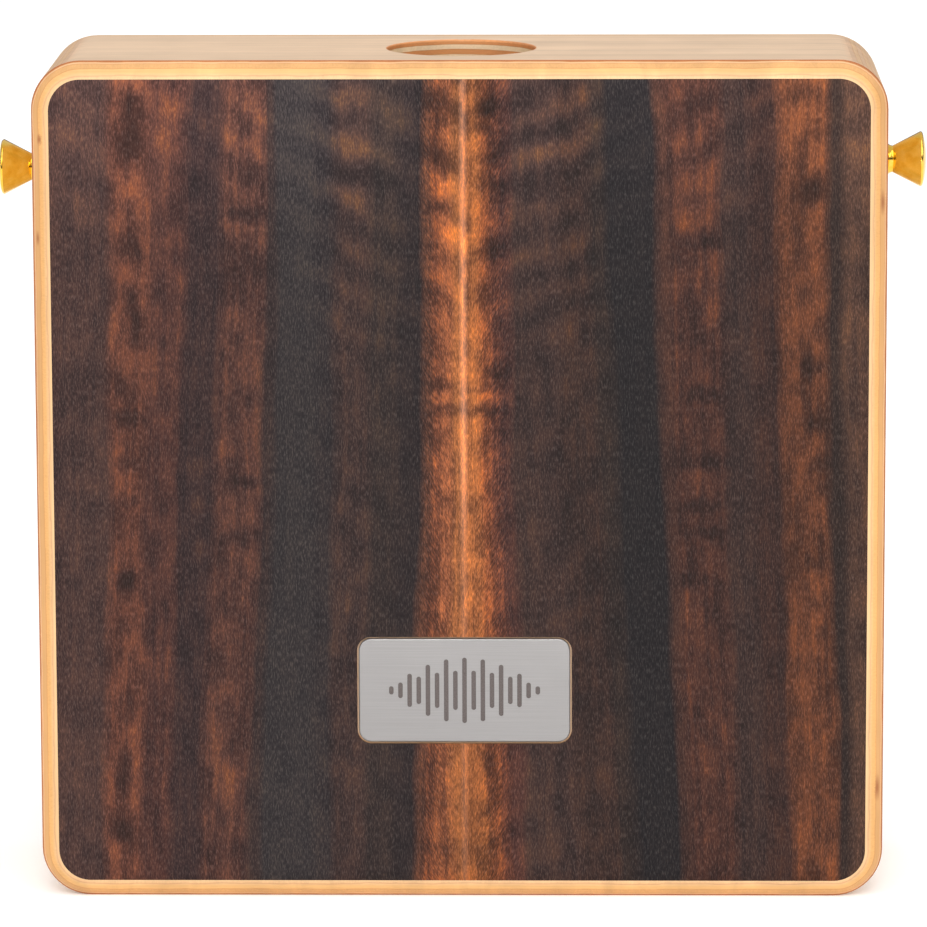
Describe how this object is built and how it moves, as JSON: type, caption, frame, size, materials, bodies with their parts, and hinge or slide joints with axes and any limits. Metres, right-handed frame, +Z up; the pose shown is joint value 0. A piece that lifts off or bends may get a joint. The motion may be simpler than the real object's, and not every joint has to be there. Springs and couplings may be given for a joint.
{
  "type": "small snare cajon",
  "caption": "Shallow plywood box drum with a dark bookmatched veneer playing face, a sound hole in the top, strap buttons on both sides and a tilting snare bar inside.",
  "frame": {"origin": "middle of the underside, which stands on the floor or the player's lap", "axes": "+Z up, -Y towards the player's side of the veneered playing face, +X to the right when looking at that face"},
  "size_m": [0.2646, 0.07, 0.24],
  "materials": {
    "birch_plywood": "clear satin lacquer over sanded birch plywood, plies showing on the edges",
    "rosewood_veneer": "satin lacquered dark brown bookmatched veneer with an orange-brown middle",
    "softwood_block": "planed and unfinished",
    "beech": "planed and oiled",
    "gold_plated_brass": "polished gold plating",
    "brushed_stainless": "fine brushed, with engraved bars filled dark",
    "adhesive_film": "clear acrylic adhesive film",
    "nylon": "moulded natural nylon",
    "spring_steel": "bright drawn spring wire, close wound",
    "plated_steel": "bright zinc plating"
  },
  "bodies": {
    "box": {"back_panel": "birch_plywood", "badge_adhesive": "adhesive_film", "badge_plate": "brushed_stainless", "bottom_board": "birch_plywood", "corner_block_bottom_left": "softwood_block", "corner_block_bottom_right": "softwood_block", "corner_block_top_left": "softwood_block", "corner_block_top_right": "softwood_block", "side_board_left": "birch_plywood", "side_board_right": "birch_plywood", "snare_bar_bush_left": "nylon", "snare_bar_bush_right": "nylon", "snare_stop_left": "softwood_block", "snare_stop_right": "softwood_block", "strap_button_block_left": "softwood_block", "strap_button_block_right": "softwood_block", "strap_button_left": "gold_plated_brass", "strap_button_right": "gold_plated_brass", "strap_button_screw_left": "gold_plated_brass", "strap_button_screw_right": "gold_plated_brass", "tapa_plywood": "birch_plywood", "tapa_veneer_left": "rosewood_veneer", "tapa_veneer_right": "rosewood_veneer", "top_board": "birch_plywood"},
    "snare": {"snare_bar": "beech", "snare_coils_left": "spring_steel", "snare_coils_right": "spring_steel", "snare_end_plate_left": "plated_steel", "snare_end_plate_right": "plated_steel", "snare_lever": "beech", "snare_plate_screws": "plated_steel"}
  },
  "joints": [
    {"name": "snare_tilt", "type": "hinge", "parent": "box", "child": "snare", "pos_m": [0, -0.019, 0.15], "axis": [-1, 0, 0], "range_deg": [0, 15]}
  ]
}
